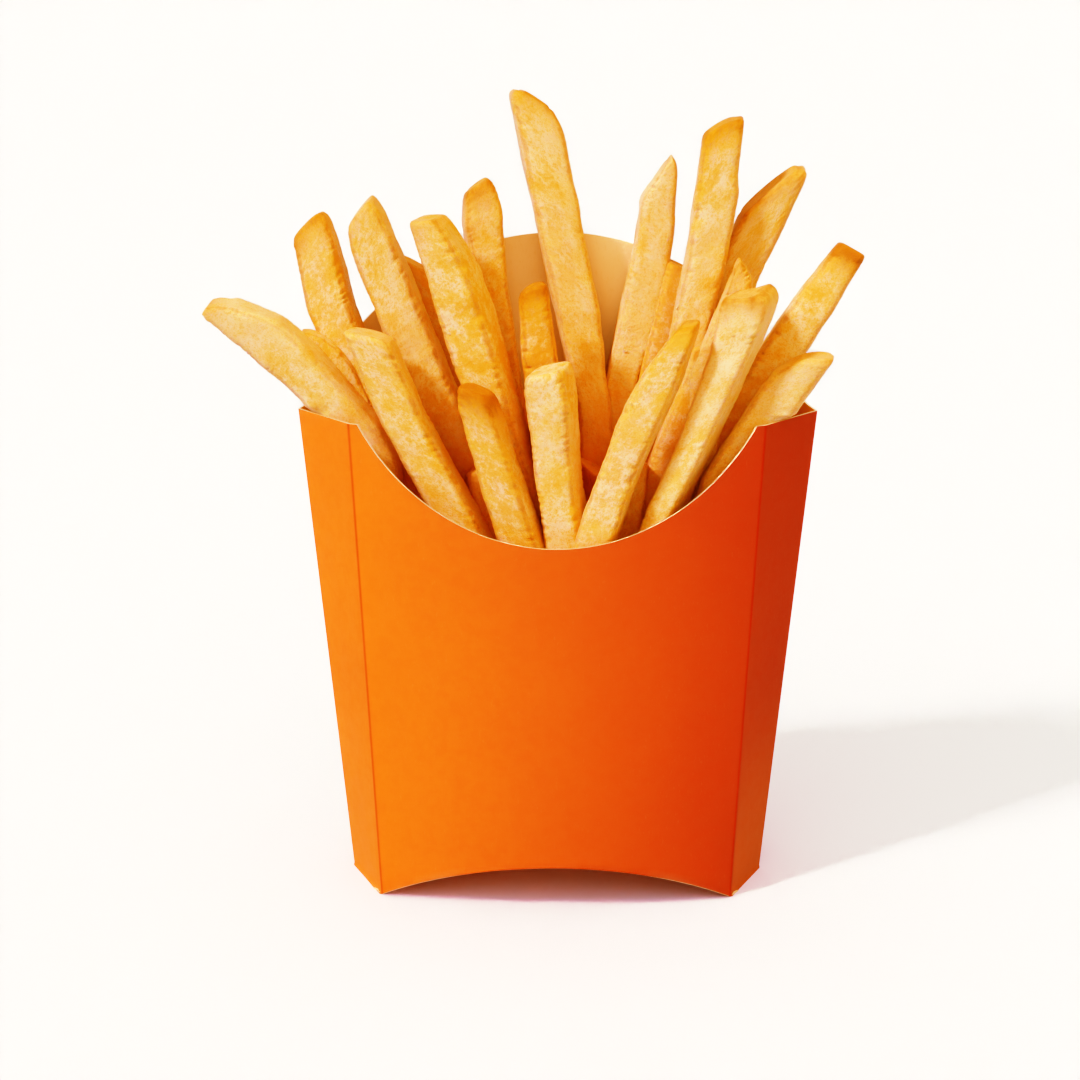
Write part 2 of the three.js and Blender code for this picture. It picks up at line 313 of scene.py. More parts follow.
def printed_board(settings):
    """Orange ink on fine board, with painted side light: lighter and warmer to the left where the main
    light falls, darker and redder to the right in shade, and painted shade on its folds.

    It has painted floor bounce, lighter on the facets near the floor, and a thin pale line along the
    vault's lower ends.
    """
    finish = Finish("printed_board")
    place = object_place(finish)
    patches = finish.cloud(place, 28, 3)
    fibres = finish.cloud(finish.stretched(place, (1, 1, 0.35)), 2600, 2, 0.6)
    mottle = finish.cloud(place, 420, 3, 0.6)
    # Painted side light: by place across the carton, the print is lit warm on the left and shaded red on
    # the right.
    drift_and_side_light = finish.between(finish.part(place, 0) + (patches - 0.5) * 0.02, *PAINTED_SIDE_LIGHT)
    red, green, blue = settings.print_colour
    base = finish.blend(drift_and_side_light, (red, green * 2, blue * 2.3), (red * 0.5, green * 0.58, blue * 2))
    base = finish.blend(finish.between(mottle, 0.35, 0.7) * 0.06, base, settings.crease_colour)
    base = finish.blend(finish.between(fibres, 0.6, 0.82) * 0.03, base, settings.edge_colour)
    up = finish.part(place, 2)
    crease_lean = (settings.crease_shoulder - settings.crease_foot) / settings.shoulder
    past_the_lean = aside(finish, place) - up * crease_lean
    on_a_facet = finish.between(
        past_the_lean, settings.crease_foot, settings.crease_foot + FACET_EDGE)
    floor_bounce_mask = finish.between(up, FLOOR_LIGHT, 0)
    # Painted bounce light: the facets are lighter near the floor, as if lit by it.
    base = finish.blend(floor_bounce_mask * on_a_facet * 0.26, base, (red, green * 3, blue * 5))
    # Painted shade along the creases and, fainter, the seams.
    base = finish.blend(finish.attribute("fold") * 0.8, base, settings.crease_colour)
    # A thin pale line along the vault's lower ends, towards the corners.
    base = finish.blend(finish.attribute("worn"), base, settings.edge_colour)
    height = fibres * 0.5 + mottle * 0.5
    return finish.surface(
        Base_Color=base,
        Roughness=0.5 + mottle * 0.12,
        IOR=1.46,
        Specular_IOR_Level=0.2,
        Specular_Tint=(1.0, 0.62, 0.3, 1.0),
        Normal=finish.relief(height, 0.00006, 0.3),
    )


def bare_board(name, tint, side_bounce=None):
    """Uncoated board with pale fibres and a few darker ones, and, where given, painted orange bounce light
    inside along each side.
    """
    finish = Finish(name)
    place = object_place(finish)
    fibres = finish.cloud(finish.stretched(place, (1, 1, 0.4)), 1900, 3, 0.65)
    patches = finish.cloud(place, 60, 3)
    red, green, blue = tint
    duller, fibre = (red * 0.97, green * 0.94, blue * 0.88), (red * 0.85, green * 0.74, blue * 0.55)
    base = finish.blend(finish.between(patches, 0.3, 0.7), duller, tint)
    base = finish.blend(finish.between(fibres, 0.56, 0.72) * 0.2, base, fibre)
    if side_bounce:
        # Painted bounce light: the inside turns orange towards the side seams.
        base = finish.blend(finish.between(aside(finish, place), *SIDE_BOUNCE_EDGE), base, side_bounce)
    return finish.surface(
        Base_Color=base,
        Roughness=0.72 + fibres * 0.15,
        Specular_IOR_Level=0.15,
        Normal=finish.relief(fibres, 0.00008, 0.5),
    )


def fried_potato(settings):
    """Golden crust with mealy pale patches, fried edges, browned cut ends, painted shade low in the heap
    and an oily shine.
    """
    finish = Finish("fried_potato")
    grain = finish.attribute("grain", "Vector")
    edge = finish.attribute("edge")
    tip = finish.attribute("tip")
    toast = finish.attribute("toast")
    broad = finish.cloud(finish.stretched(grain, (1, 1, 0.5)), 1.1, 2, 0.5)
    patches = finish.cloud(finish.stretched(grain, (1, 1, 0.8)), 3.2, 3, 0.5)
    speckle = finish.cloud(grain, 11, 3, 0.6)
    fine = finish.cloud(grain, 34, 3, 0.7)
    mealy = finish.between(
        broad * 0.36 + patches * 0.34 + speckle * 0.15 + fine * 0.15 - toast * 0.15, 0.28, 0.48)
    base = finish.blend(mealy, settings.golden, settings.pale)
    warm = finish.between(broad * 0.5 + patches * 0.3 + toast * 0.2, 0.48, 0.64)
    base = finish.blend(warm * (toast * 0.45 + 0.12), base, settings.amber)
    # Whitish flecks: partly floury flesh, partly painted glints.
    flecks = finish.between(speckle * 0.38 + patches * 0.42 + fine * 0.2, 0.46, 0.65)
    base = finish.blend(flecks * 0.65, base, settings.flour_and_glint)
    pores = finish.between(fine * 0.75 + speckle * 0.25, 0.5, 0.36)
    base = finish.blend(pores * 0.28, base, settings.amber)
    rims = finish.between(edge + (speckle - 0.5) * 0.5 + (patches - 0.5) * 0.4, 0.88, 1.06)
    base = finish.blend(rims * (toast * 0.5 + 0.22), base, settings.rim)
    ends = tip + edge * 0.12 + (patches - 0.5) * 0.9 + (speckle - 0.5) * 0.6
    base = finish.blend(finish.between(ends, 0.2, 0.8) * 0.65, base, settings.amber)
    base = finish.blend(finish.between(ends, 0.55, 1.1) * 0.8, base, settings.brown)
    place = object_place(finish)
    # Painted shade: fries low in the heap and behind the first row turn deep amber.
    low = finish.between(finish.part(place, 2), *SHADED_HEIGHTS)
    behind = finish.between(finish.part(place, 1), *SHADED_BEHIND)
    base = finish.blend(low * behind * 0.6, base, settings.deep)
    height = speckle * 0.35 + fine * 0.65
    return finish.surface(
        Base_Color=base,
        Roughness=0.3 + speckle * 0.3,
        IOR=1.45,
        Specular_IOR_Level=0.45,
        Specular_Tint=(1.0, 0.9, 0.75, 1.0),
        Subsurface_Weight=0.3,
        Subsurface_Radius=(1.0, 0.5, 0.06),
        Subsurface_Scale=0.0016,
        Normal=finish.relief(height, 0.00042, 0.9),
    )


def plain_floor(settings):
    """Smooth matt floor, seen paler than the light that it throws back on the carton."""
    finish = Finish("studio_floor")
    drift_and_side_light = finish.cloud(object_place(finish), 3, 1)
    seen = finish.add("ShaderNodeLightPath")
    thrown_back = tuple(part * settings.floor_return for part in settings.floor_colour)
    shaded = tuple(part * 0.99 for part in settings.floor_colour)
    pale = finish.blend(drift_and_side_light * 0.3, settings.floor_colour, shaded)
    return finish.surface(
        Base_Color=finish.blend(seen, thrown_back, pale), Roughness=0.8, Specular_IOR_Level=0.1)


def surroundings(settings):
    """Warm surroundings, bright overhead and dim at eye level, with a pale backdrop."""
    finish = Finish("surroundings", "worlds")
    way = finish.add("ShaderNodeTexCoord", output="Generated")
    height = finish.between(finish.part(way, 2), 0, 1)
    low, high = (
        tuple(part * strength for part in settings.sky_colour)
        for strength in (settings.horizon, settings.overhead)
    )
    seen = finish.add("ShaderNodeLightPath")
    light = finish.blend(seen, finish.blend(height, low, high), (settings.backdrop,) * 3)
    sky = finish.add("ShaderNodeBackground", {}, {"Color": light})
    finish.add("ShaderNodeOutputWorld", {}, {"Surface": sky})
    return finish.block


# ---------------------------------------------------------------- the carton

FLARE = ((41 * MM, 104 * MM), (45 * MM, 96.2 * MM))  # handles of the curve from dome to corner
FLARE_POINTS = 65
RIM_MARGIN = 1.5 * MM  # height above a rim over which the walls let go of the fries
LEAST_ROOM = 2 * MM  # that a wall leaves between itself and the seam plane
WALL_ROWS = 40
FLOOR_ROWS = 10
PANEL_PLACES = 57  # across each panel, besides those at its folds
FACET_PLACES = 5  # the same across each facet
FOLD_STEPS = (0, 0.4 * MM, 0.9 * MM)  # places beside a fold, from it
SETTLED = 8  # rounds after which a height that depends on its own place is found
WAVER = 0.12 * MM  # how far a panel wavers in and out
FOLD_ROUNDING = 0.35 * MM
FOLD_SHADE_HALF = 0.42 * MM  # half width of the painted shade line along a crease's groove
SEAM_SHADE_HALF = 0.6 * MM  # the same for a seam
SEAM_SHADE_SHARE = 0.4  # share of that painted fold shade that a seam gets, beside a crease's 1
PALE_EDGE_FROM = (0.5, 0.65)  # shares of the way from the middle of a panel to its crease
PALE_EDGE_WIDTH = 0.15 * MM
PALE_EDGE_STOP = 0.1 * MM  # short of the crease
SHARP_FROM = 32  # degrees between two faces that meet in a sharp edge


class CartonForm:
    """The carton's walls and rims as functions of place, from its settings, about its own centre."""

    def __init__(self, sizes):
        self.sizes = sizes
        self.scoop_middle = sizes.scoop_low + sizes.scoop_radius
        self.scoop_half = math.sqrt(
            sizes.scoop_radius ** 2 - (self.scoop_middle - sizes.shoulder) ** 2)
        self.dome_middle = sizes.dome_top - sizes.dome_radius
        dome_end = self.dome_middle + math.sqrt(sizes.dome_radius ** 2 - sizes.dome_half ** 2)
        corner = (sizes.seam_shoulder, sizes.shoulder)
        handles = np.array([(sizes.dome_half, dome_end), *FLARE, corner])
        t = np.linspace(0, 1, FLARE_POINTS)[:, None]
        self.flare = (
            (1 - t) ** 3 * handles[0] + 3 * t * (1 - t) ** 2 * handles[1]
            + 3 * t ** 2 * (1 - t) * handles[2] + t ** 3 * handles[3]
        )
        self.vault_radius = (sizes.crease_foot ** 2 + sizes.arch_rise ** 2) / (2 * sizes.arch_rise)

    def _at(self, foot, shoulder, z):
        """A measure at a height, from those on the floor and at the shoulder."""
        return foot + (shoulder - foot) * z / self.sizes.shoulder

    def seam(self, z):
        """Half width over the side seams."""
        return self._at(self.sizes.seam_foot, self.sizes.seam_shoulder, z)

    def crease(self, z):
        """Half width of a panel."""
        return self._at(self.sizes.crease_foot, self.sizes.crease_shoulder, z)

    def depth(self, z):
        """From the seam plane to the creases."""
        return self._at(self.sizes.depth_foot, self.sizes.depth_shoulder, z)

    def bow(self, z):
        """How far a panel bows out past its creases."""
        return self._at(self.sizes.bow_foot, self.sizes.bow_shoulder, z)

    def wall(self, x, z):
        """Distance from the seam plane to the outer face of the wall at x, negative outside."""
        across = np.abs(x)
        panel = self.depth(z) + self.bow(z) * (1 - (across / self.crease(z)) ** 2)
        facet = self.depth(z) * (self.seam(z) - across) / (self.seam(z) - self.crease(z))
        return np.where(across < self.crease(z), panel, facet)

    def front_rim(self, x):
        """Height of the front rim: scooped over the panel, level over the facets."""
        across = np.minimum(np.abs(x), self.scoop_half)
        return self.scoop_middle - np.sqrt(self.sizes.scoop_radius ** 2 - across ** 2)

    def back_rim(self, x):
        """Height of the back rim: domed over the panel, flared down to the side corners."""
        across = np.abs(x)
        dome = self.dome_middle + np.sqrt(
            self.sizes.dome_radius ** 2 - np.minimum(across, self.sizes.dome_half) ** 2)
        flare = np.interp(across, self.flare[:, 0], self.flare[:, 1])
        return np.where(across < self.sizes.dome_half, dome, flare)

    def rim(self, x, side):
        """Height of the front rim where side is negative, else of the back rim."""
        return self.front_rim(x) if side < 0 else self.back_rim(x)

    def vault(self, x):
        """Height of the vaulted bottom, which is flat outside the panels' lower corners."""
        across = np.minimum(np.abs(x), self.sizes.crease_foot)
        rise = self.sizes.arch_rise - self.vault_radius + np.sqrt(self.vault_radius ** 2 - across ** 2)
        return np.maximum(rise, 0)

    def trim(self, points):
        """Moves points that stand out past the seams or below the floor back to them."""
        reach = self.seam(points[:, 2])
        points[:, 0] = np.clip(points[:, 0], -reach, reach)
        points[:, 2] = np.maximum(points[:, 2], 0)
        return points

    def press_inside(self, points, gap):
        """Moves points that would pass through a wall back inside it, with that gap to it."""
        x, y, z = points.T
        side = np.where(y < 0, -1, 1)
        rim = np.where(y < 0, self.front_rim(x), self.back_rim(x))
        room = np.maximum(self.wall(x, z) - self.sizes.board - gap, LEAST_ROOM)
        excess = np.maximum(np.abs(y) - room, 0)
        hold = np.clip((rim + RIM_MARGIN - z) / RIM_MARGIN, 0, 1) * (np.abs(x) < self.seam(z) - MM)
        points[:, 1] = y - side * excess * hold
        return points


def carton_stations(form):
    """Places round the carton, anticlockwise from the right seam.

    Each is its kind, its share of the way across the facet or panel, its side (1 at the back) and
    its place (x, y) as a function of height.
    """
    facet_width = form.sizes.seam_shoulder - form.sizes.crease_shoulder
    near = [step / facet_width for step in FOLD_STEPS]
    between = np.linspace(0.15, 0.85, FACET_PLACES)
    shares = sorted({*near, *between, *(1 - share for share in near)})
    near_crease = [1 - step / form.sizes.crease_shoulder for step in FOLD_STEPS]
    scoop_end = form.scoop_half / form.sizes.crease_shoulder
    inner = np.linspace(-0.93, 0.93, PANEL_PLACES)
    across = sorted({*inner, *near_crease, scoop_end, *(-a for a in near_crease), -scoop_end})

    def facet(share, hand, side):
        return lambda z: (
            hand * (form.seam(z) + (form.crease(z) - form.seam(z)) * share),
            side * form.depth(z) * share,
        )

    def panel(place, side):
        return lambda z: (
            place * form.crease(z),
            side * (form.depth(z) + form.bow(z) * (1 - place ** 2)),
        )

    stations = []
    for side in (1, -1):
        stations += [("facet", share, side, facet(share, side, side)) for share in shares[:-1]]
        stations += [("panel", side * a, side, panel(side * a, side)) for a in reversed(across)]
        stations += [
            ("facet", share, side, facet(share, -side, side)) for share in reversed(shares[1:-1])]
    return stations


def settle(height_of_x, place, start):
    """Height at which a station meets a rim or the vault, whose height depends on x."""
    z = start
    for _ in range(SETTLED):
        z = float(height_of_x(place(z)[0]))
    return z


def carton_shell(form):
    """The outer skin of the carton, with its folds marked for bevelling."""
    shell = bmesh.new()
    folded = shell.edges.layers.float.new("bevel_weight_edge")
    stations = carton_stations(form)
    columns = []
    for kind, _, side, place in stations:
        top = settle(lambda x: form.rim(x, side), place, form.sizes.shoulder)
        foot = settle(form.vault, place, 0.0) if kind == "panel" else 0.0
        column = []
        for row in range(WALL_ROWS + 1):
            z = foot + (top - foot) * row / WALL_ROWS
            x, y = place(z)
            sway = noise.noise(Vector((x * 25, side * 7.3, z * 22))) * WAVER
            calm = min(1.0, 4 * row / WALL_ROWS) * (kind == "panel") * (1 - (x / form.crease(z)) ** 2)
            column.append(shell.verts.new((x, y + side * sway * calm, z)))
        columns.append(column)
    for left, right in zip(columns, [*columns[1:], columns[0]]):
        for row in range(WALL_ROWS):
            shell.faces.new((left[row], right[row], right[row + 1], left[row + 1]))
    panels = {1: [], -1: []}
    for column, (kind, share, side, _) in zip(columns, stations):
        if kind == "panel":
            panels[side].append(column)
        if abs(share) == (1 if kind == "panel" else 0):
            for low, high in zip(column, column[1:]):
                shell.edges.get((low, high))[folded] = 1
    strips = []
    for back, front in zip(panels[1], reversed(panels[-1])):
        start, end = back[0].co, front[0].co
        between = [shell.verts.new(start.lerp(end, k / FLOOR_ROWS)) for k in range(1, FLOOR_ROWS)]
        strips.append([back[0], *between, front[0]])
    for left, right in zip(strips, strips[1:]):
        for k in range(FLOOR_ROWS):
            shell.faces.new((left[k], left[k + 1], right[k + 1], right[k]))
    shell.faces.new([*strips[0], *facet_feet(columns, stations, 1)])
    shell.faces.new([*reversed(strips[-1]), *facet_feet(columns, stations, -1)])
    shell.normal_update()
    for edge in shell.edges:
        if edge.is_boundary or len(edge.link_faces) != 2:
            continue
        wall, floor = sorted(abs(face.normal.z) for face in edge.link_faces)
        if wall < 0.5 < floor:
            edge[folded] = 1
    return shell


def facet_feet(columns, stations, hand):
    """Lower ends of the facets on one side, from the front crease round the seam to the back one."""
    feet = [
        (column[0], station[3](0.0)) for column, station in zip(columns, stations)
        if station[0] == "facet" and station[3](0.0)[0] * hand > 0
    ]
    feet.sort(key=lambda item: item[1][1] * hand)
    return [vertex for vertex, _ in feet]


def write_values(mesh, name, values, kind="FLOAT"):
    """Stores one value for each vertex under a name that the materials read."""
    layer = mesh.attributes.new(name, kind, "POINT")
    layer.data.foreach_set("vector" if kind == "FLOAT_VECTOR" else "value", np.ravel(values))


def lit_together(name):
    """Things that some of the lights shine on alone: dry board and floor, or potato."""
    return bpy.data.collections.get(name) or bpy.data.collections.new(name)


def show(name, mesh, slot, *replaced):
    """Puts a mesh in the scene as a piece of the part, instead of the nodes it replaces."""
    piece = bpy.data.objects.new(name, mesh)
    bpy.context.scene.collection.objects.link(piece)
    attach(piece, BODY)
    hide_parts(*replaced)
    return piece


def applied(draft):
    """The mesh of an object with its modifiers applied; the draft object is removed."""
    graph = bpy.context.evaluated_depsgraph_get()
    mesh = bpy.data.meshes.new_from_object(draft.evaluated_get(graph))
    bpy.data.objects.remove(draft)
    return mesh


def fold_distances(form, points):
    """Distances of points from the nearest vertical crease and from the nearest seam."""
    x, y, z = np.abs(points[:, 0]), np.abs(points[:, 1]), points[:, 2]
    to_crease = np.hypot(x - form.crease(z), y - form.depth(z))
    to_seam = np.hypot(x - form.seam(z), y)
    return to_crease, to_seam


def pale_lower_edge(form, points):
    """1 along a thin pale line on the panels' lower edges, towards the corners, else 0."""
    x, y, z = np.abs(points[:, 0]), np.abs(points[:, 1]), points[:, 2]
    low = form.vault(x)
    to_edge = np.hypot(y - form.wall(x, low), z - low)
    outward = np.interp(x / form.sizes.crease_foot, PALE_EDGE_FROM, (0, 1))
    on_the_panel = x < form.sizes.crease_foot - PALE_EDGE_STOP
    return np.clip(2 - to_edge / PALE_EDGE_WIDTH, 0, 1) * outward * on_the_panel


class FRIES_OT_fold_carton(bpy.types.Operator):
    """Fold the board carton: bowed panels, facets, vaulted bottom, scooped and domed rims"""
    bl_idname = "fries.fold_carton"
    bl_label = "Fold Carton"

    def execute(self, context):
        settings = context.scene.carton_settings
        form = CartonForm(settings)
        shell = carton_shell(form)
        mesh = bpy.data.meshes.new("carton_shell")
        shell.to_mesh(mesh)
        shell.free()
        draft = bpy.data.objects.new("carton_draft", mesh)
        context.scene.collection.objects.link(draft)
        round_folds = draft.modifiers.new("round_folds", "BEVEL")
        round_folds.limit_method = "WEIGHT"
        round_folds.width = FOLD_ROUNDING
        round_folds.segments = 2
        thicken = draft.modifiers.new("thicken", "SOLIDIFY")
        thicken.thickness = settings.board
        thicken.offset = -1
        thicken.use_even_offset = True
        thicken.material_offset = 1
        thicken.material_offset_rim = 2
        for material in (
            printed_board(settings),
            bare_board("bare_board", settings.board_colour, settings.side_bounce_colour),
            bare_board("cut_edge", settings.edge_colour),
        ):
            draft.data.materials.append(material)
        board = applied(draft)
        points = np.empty(len(board.vertices) * 3)
        board.vertices.foreach_get("co", points)
        points = form.trim(points.reshape(-1, 3))
        board.vertices.foreach_set("co", points.ravel())
        to_crease, to_seam = fold_distances(form, points)
        # Painted shade along the creases and, fainter, the seams, stored as the fold value.
        crease = np.clip(1 - to_crease / FOLD_SHADE_HALF, 0, 1)
        seam = np.clip(1 - to_seam / SEAM_SHADE_HALF, 0, 1)
        write_values(board, "fold", np.maximum(crease, SEAM_SHADE_SHARE * seam))
        write_values(board, "worn", pale_lower_edge(form, points))
        board.transform(Matrix.Translation(CARTON_MIDDLE))
        board.shade_smooth()
        board.set_sharp_from_angle(angle=math.radians(SHARP_FROM))
        carton = show("folded_carton", board, "board", "carton")
        lit_together("dry").objects.link(carton)
        return {"FINISHED"}


# ---------------------------------------------------------------- fries

@dataclass
class Fry:
    """One fry, in millimetres and degrees, about the carton's centre.

    Its two edges as seen from the front, each a list of (x, z) from the foot up to the cut end,
    how far back its middle lies at the foot and at the tip, how deep it is, its turn about its
    own length, how far its cut end bulges, how fried it is, and how browned its cut end is, both
    from 0 to about 1.
    """
    left: tuple
    right: tuple
    y: tuple
    deep: float = 8
    turn: float = 0
    crown: float = 0.4
    toast: float = 0.5
    burnt: float = 0.4


def straight_fry(foot, tip, wide, deep, slant=0, turn=0, toast=0.5):
    """A straight fry from the middles (x, y, z) of its two ends; slant lifts its right corner."""
    (x0, y0, z0), (x1, y1, z1) = foot, tip
    reach = math.hypot(x1 - x0, z1 - z0)
    across = ((z1 - z0) / reach * wide / 2, -(x1 - x0) / reach * wide / 2)
    lift = math.tan(math.radians(slant)) * wide / 2
    up = ((x1 - x0) / reach * lift, (z1 - z0) / reach * lift)
    left = ((x0 - across[0], z0 - across[1]), (x1 - across[0] - up[0], z1 - across[1] - up[1]))
    right = ((x0 + across[0], z0 + across[1]), (x1 + across[0] + up[0], z1 + across[1] + up[1]))
    return Fry(left, right, (y0, y1), deep, turn, 0.5, toast)


LONG_FRIES = (
    # from the left rim to the middle
    Fry(((-37.9, 59.2), (-44.4, 90.9), (-48.8, 96.9), (-53, 100.8), (-67.1, 113.3)),
        ((-28.1, 60.8), (-30.2, 85.8), (-34, 92.7), (-45.2, 106.4), (-52.5, 113.2), (-61.1, 116),
         (-65.3, 116)),
        y=(-3, -2), deep=8.5, turn=-6, crown=0, toast=0.3, burnt=0.5),
    Fry(((-32.4, 58.9), (-39.9, 91.4), (-48.1, 112.5), (-50.8, 125.6)),
        ((-23.6, 61.1), (-33.5, 98.2), (-39.2, 113.4), (-42.4, 126.1), (-43.7, 129.7), (-45, 131.2)),
        y=(-1, 9), deep=8.4, turn=-4, crown=0.4, toast=0.7, burnt=0.75),
    Fry(((-4.3, 40.2), (-32.7, 107.6), (-39.3, 125), (-39.8, 129)),
        ((4.3, 43.8), (-20.4, 99.7), (-29.7, 124.3), (-33.4, 132.5), (-35.1, 134.7)),
        y=(4, 4), deep=9, turn=-3, crown=0.3, toast=0.4, burnt=0.45),
    Fry(((-3.9, 31.2), (-22.3, 72.9), (-33.5, 95.3), (-39.8, 111.3)),
        ((3.9, 34.8), (-15, 76.8), (-25.1, 95.9), (-30.6, 109.4)),
        y=(-10, -8), deep=8.6, turn=-5, crown=0.4, toast=0.65, burnt=0.25),
    Fry(((-3, 43.7), (-13.3, 89.2), (-19.3, 103.2), (-27.7, 131.1)),
        ((7, 46.3), (-12.4, 115.3), (-15.6, 123.6), (-19.4, 130.4), (-20.6, 131.8)),
        y=(-4, -2), deep=10, turn=-13, crown=0.1, toast=0.65, burnt=0.45),
    Fry(((-9.1, 54.5), (-14.1, 101.8), (-18.8, 128.2), (-18.6, 133.4)),
        ((-0.9, 55.5), (-9.8, 116.6), (-10.9, 131.9), (-11.6, 135), (-13, 137.3)),
        y=(10, 12), deep=8, turn=10, crown=0.4, toast=0.6, burnt=0.75),
    Fry(((4.3, 49.8), (3.2, 92.5), (-9.7, 151.6), (-9.9, 153.2), (-9.2, 154), (-8, 153.8)),
        ((13.7, 50.2), (10.6, 89.4), (8.2, 111.4), (1.8, 142), (0.6, 146.8), (-1.6, 149.9)),
        y=(6.5, 17.8), deep=8, turn=8, crown=0.1, toast=0.45, burnt=0.75),
    # from the middle to the right rim
    Fry(((-1.9, 48.8), (9.4, 97.7), (14.1, 122.1), (15.8, 130.9), (15.3, 132.8), (16.6, 134.6),
         (20.8, 140.4)),
        ((5.9, 47.2), (16.1, 99.3), (18.9, 106.7), (20.6, 113.6), (22.3, 127), (22.9, 139.2), (22.3, 141)),
        y=(13, 14), deep=7, turn=0, crown=0.2, toast=0.25, burnt=0.5),
    Fry(((17.5, 50.2), (19.7, 98.7), (24, 122), (27.2, 146.2)),
        ((26.5, 49.8), (28.5, 106.6), (32.3, 124.5), (34.2, 136.7), (33.8, 138.2), (34.8, 149.6)),
        y=(2, 4), deep=8.8, turn=0, crown=0.8, toast=0.5, burnt=0.8),
    Fry(((25.9, 62), (25.6, 105.4), (31.3, 123.5), (34.5, 130.7)),
        ((34.1, 62), (34, 105.4), (38.5, 118.7), (47, 137.8), (47.4, 139.8), (45.8, 140.2)),
        y=(12, 7.5), deep=7.8, turn=0, crown=0.5, toast=0.5, burnt=0.6),
    Fry(((-1.7, 33.8), (21.4, 88.4), (29, 110.5), (30.4, 118.4)),
        ((7.7, 30.2), (22.7, 72.7), (38.2, 109.2), (41.2, 117), (41.4, 119), (40.2, 120.6)),
        y=(-11.5, -11), deep=9.8, turn=-19, crown=-0.6, toast=0.3, burnt=0.7),
    Fry(((0.7, 38.1), (1.7, 66), (5, 78.8), (12.7, 99.5), (16.4, 106), (21.8, 113.3)),
        ((9.3, 37.9), (9.4, 66.1), (16.7, 88.1), (22.9, 102.2), (26.8, 114.1)),
        y=(-16.2, -15), deep=7.5, turn=-12, crown=0.4, toast=0.7, burnt=0.75),
    Fry(((13.2, 59.9), (28.3, 90.1), (45.5, 115.7), (53.7, 125.6)),
        ((20.8, 56.1), (36, 88.3), (48.9, 106.1), (58.7, 122.8)),
        y=(-4.5, 8.5), deep=7.4, turn=-4, crown=0, toast=0.5, burnt=1.3),
    Fry(((19.6, 51.1), (27.5, 83.2), (38.1, 100.7), (40.7, 104.1), (44.2, 106.2)),
        ((28.4, 48.9), (35.3, 79.2), (47.6, 99.6), (52.2, 106.4)),
        y=(-6, -8), deep=7.5, turn=-8, crown=0.7, toast=0.45, burnt=0.5),
)

SHORT_FRIES = (
    Fry(((-16.9, 48.5), (-34.8, 85.8), (-42.7, 99.7), (-49, 108.1)),
        ((-11.1, 51.5), (-32.5, 88.5), (-39.5, 103.3), (-42.2, 106.6), (-45.2, 108.7), (-48.2, 109.5)),
        y=(2, 2), deep=5.5, crown=0.3, toast=0.6, burnt=0.5),
    Fry(((-10.9, 39.1), (-22.1, 89.6), (-30.4, 118.4), (-30.7, 121.9)),
        ((-3.1, 40.9), (-15.4, 91.6), (-21.7, 111.5), (-25.3, 119)),
        y=(11.5, 12), deep=6.5, turn=5, crown=0.2, toast=0.7, burnt=0.5),
    Fry(((-3.9, 47.9), (-5.2, 92.9), (-7.1, 106.6), (-7.5, 116.6)),
        ((3.9, 48.1), (2.1, 92.9), (-2, 119.1)),
        y=(-2, -2), deep=6.5, turn=6, crown=0.7, toast=0.95, burnt=1.0),
    Fry(((-1.8, 25), (-1.6, 64.8), (-5.8, 99.5), (-5.7, 103.6)),
        ((7.8, 25), (7.5, 64.9), (5.2, 81.7), (3.8, 99.1), (2.9, 105.8)),
        y=(-11.5, -12), deep=9, turn=-14, crown=0.1, toast=0.55, burnt=0.15),
    Fry(((4, 26.7), (-13.9, 81.4), (-18.4, 98.4), (-18.2, 102.1)),
        ((12, 29.3), (-11.3, 99.6)),
        y=(-13.5, -13.5), deep=8.4, turn=-12, crown=0.4, toast=0.8, burnt=1.1),
    Fry(((5.8, 40.5), (16, 99.8), (21.2, 121.1)),
        ((12.2, 39.5), (21.6, 97.8), (25.9, 118.6)),
        y=(11, 12), deep=6.5, crown=0.3, toast=0.8, burnt=0.6),
    Fry(((23.6, 70.1), (25.2, 103.1), (32.7, 121.4)),
        ((30.4, 69.9), (31.3, 101.2), (36.6, 116.7), (36.5, 120.9), (34.6, 124.1)),
        y=(-3, -4), deep=6, crown=0.6, toast=0.5, burnt=0.6),
    Fry(((5.4, 38.9), (15, 77.4), (18.2, 87.3), (25.9, 106.9)),
        ((12.6, 37.1), (21.4, 75.4), (30.2, 100.1), (31.2, 105.9)),
        y=(-3, -3), deep=6, crown=0.4, toast=0.6, burnt=0.6),
)

LOW_FRIES = (
    straight_fry((-22, 8, 32), (-31, 8, 97), 9, 8, slant=15, turn=10),
    straight_fry((-20, 1, 30), (-29, 1.5, 93), 7, 7, slant=-20, turn=-6),
    straight_fry((-8, -4, 22), (-15, -3, 83), 5.5, 5, slant=20, turn=8),
    straight_fry((-4, 12, 25), (-6, 14, 94), 8, 8, slant=25, turn=8),
    straight_fry((4, 13, 20), (3, 14.5, 88), 8, 8, slant=-18, turn=-6),
    straight_fry((8, -5, 24), (13, -6, 85), 8.5, 8.5, slant=12, turn=12),
    straight_fry((22, 2, 28), (31, 3, 87), 8.5, 8, slant=20, turn=9),
)

ROWS_BEHIND = ((4, -30, 36), (9, -33, 33), (15, -27, 30))  # y, first x and last x in millimetres
SPACING = 7.5  # millimetres between the low fries of a row
PACKING_SEED = 5


